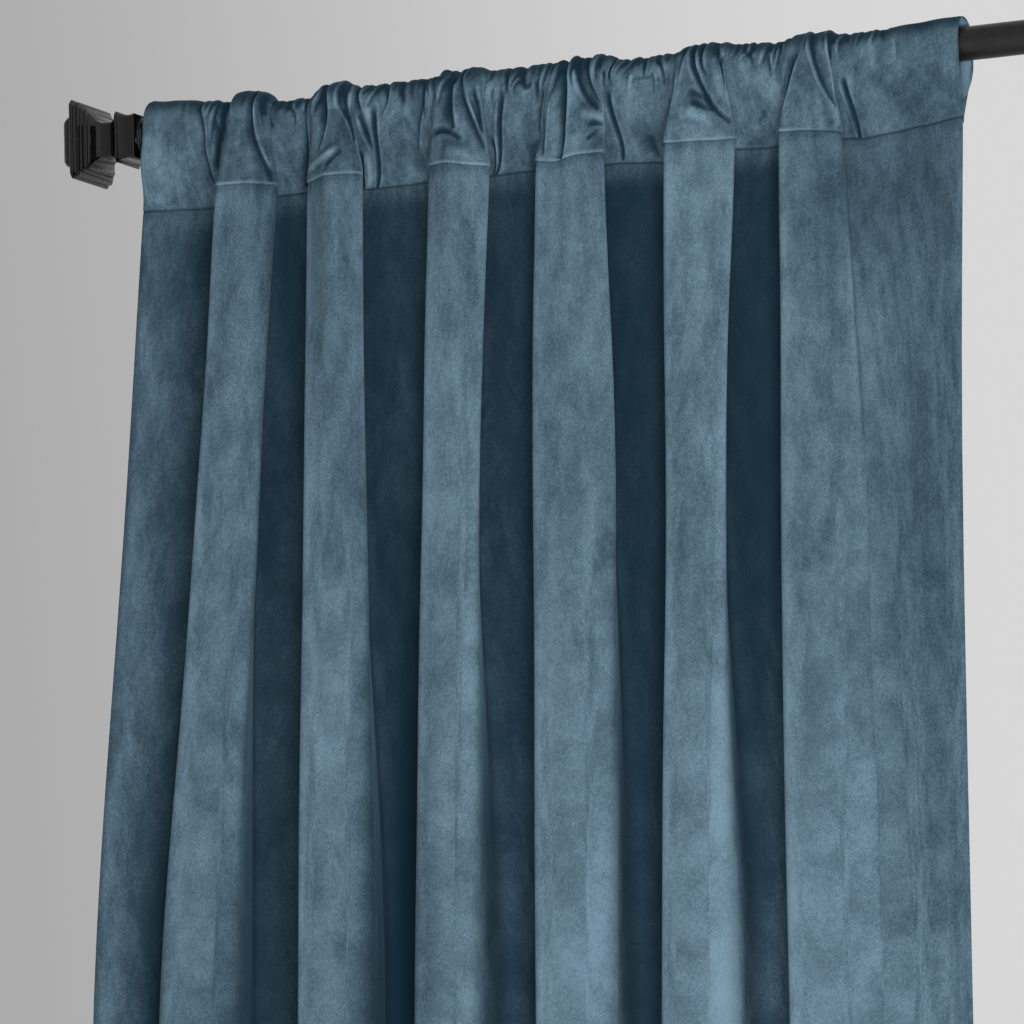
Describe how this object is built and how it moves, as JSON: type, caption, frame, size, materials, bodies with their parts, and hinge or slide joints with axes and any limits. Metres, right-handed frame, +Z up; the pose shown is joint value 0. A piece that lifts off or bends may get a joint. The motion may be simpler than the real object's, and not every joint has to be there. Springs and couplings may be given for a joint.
{
  "type": "velvet rod-pocket curtain panel on a curtain rod with finials",
  "caption": "Velvet rod-pocket curtain panel gathered in deep uneven folds on a round metal rod with square stepped finials.",
  "frame": {"origin": "on the rod's axis at its mid-length, where the rod is held up", "axes": "+X along the rod to the viewer's right, +Y to the wall behind, +Z up"},
  "size_m": [1.0494, 0.0828, 2.1456],
  "materials": {
    "velvet": "dusty teal-blue cotton velvet, short brushed pile with mottled hand marks and a soft sheen at its edges",
    "rod_metal": "satin black enamel on a steel tube",
    "finial_metal": "black satin to gloss lacquer on a cast stepped square finial, bright along its edges"
  },
  "bodies": {
    "root": {"curtain_panel": "velvet", "curtain_rod": "rod_metal", "finial_left": "finial_metal", "finial_right": "finial_metal"}
  },
  "joints": []
}
